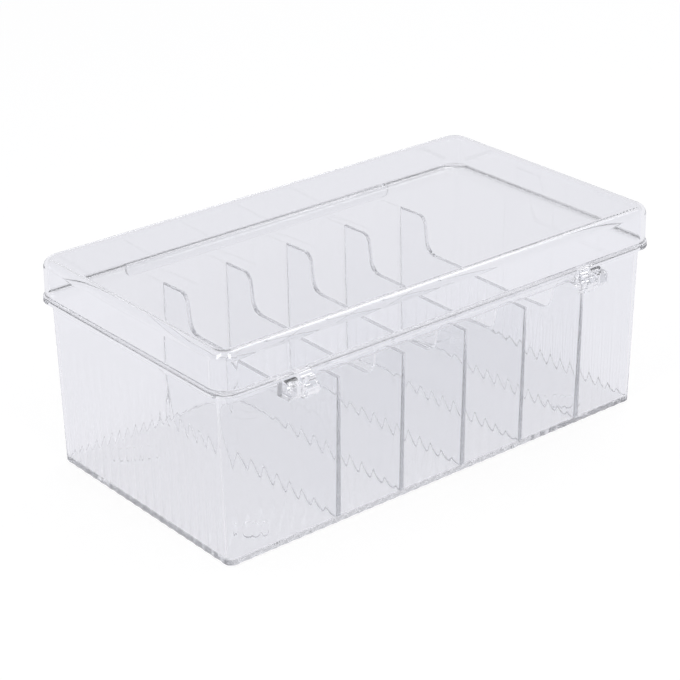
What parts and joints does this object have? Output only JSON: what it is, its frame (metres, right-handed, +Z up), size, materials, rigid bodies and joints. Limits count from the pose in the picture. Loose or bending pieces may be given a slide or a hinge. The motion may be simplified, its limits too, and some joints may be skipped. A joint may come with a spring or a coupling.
{
  "type": "compartment organizer box",
  "caption": "Clear plastic organizer box: a fluted tray with fixed scooped dividers and a snap-hinged lid.",
  "frame": {"origin": "on the surface the box stands on, under the middle of the tray", "axes": "+X runs along the box towards the wide compartment, +Y points out of the hinge side, +Z is up"},
  "size_m": [0.257, 0.1479, 0.1033],
  "materials": {
    "tray_plastic": "clear polystyrene, high gloss",
    "lid_plastic": "clear polystyrene, high gloss"
  },
  "bodies": {
    "tray": {"tray_shell": "tray_plastic", "tray_rim": "tray_plastic", "front_lip": "tray_plastic", "hinge_rail": "tray_plastic", "divider_1": "tray_plastic", "divider_2": "tray_plastic", "divider_3": "tray_plastic", "divider_4": "tray_plastic", "divider_5": "tray_plastic", "foot_front_left": "tray_plastic", "foot_front_right": "tray_plastic", "foot_back_left": "tray_plastic", "foot_back_right": "tray_plastic", "hinge_block_right": "tray_plastic", "hinge_block_left": "tray_plastic", "hinge_pin_right": "tray_plastic", "hinge_pin_left": "tray_plastic"},
    "lid": {"lid_shell": "lid_plastic", "hinge_hook_right": "lid_plastic", "hinge_hook_left": "lid_plastic"}
  },
  "joints": [
    {"name": "lid_hinge", "type": "hinge", "parent": "tray", "child": "lid", "pos_m": [0, 0.0728, 0.0782], "axis": [-1, 0, 0], "range_deg": [0, 110]}
  ]
}
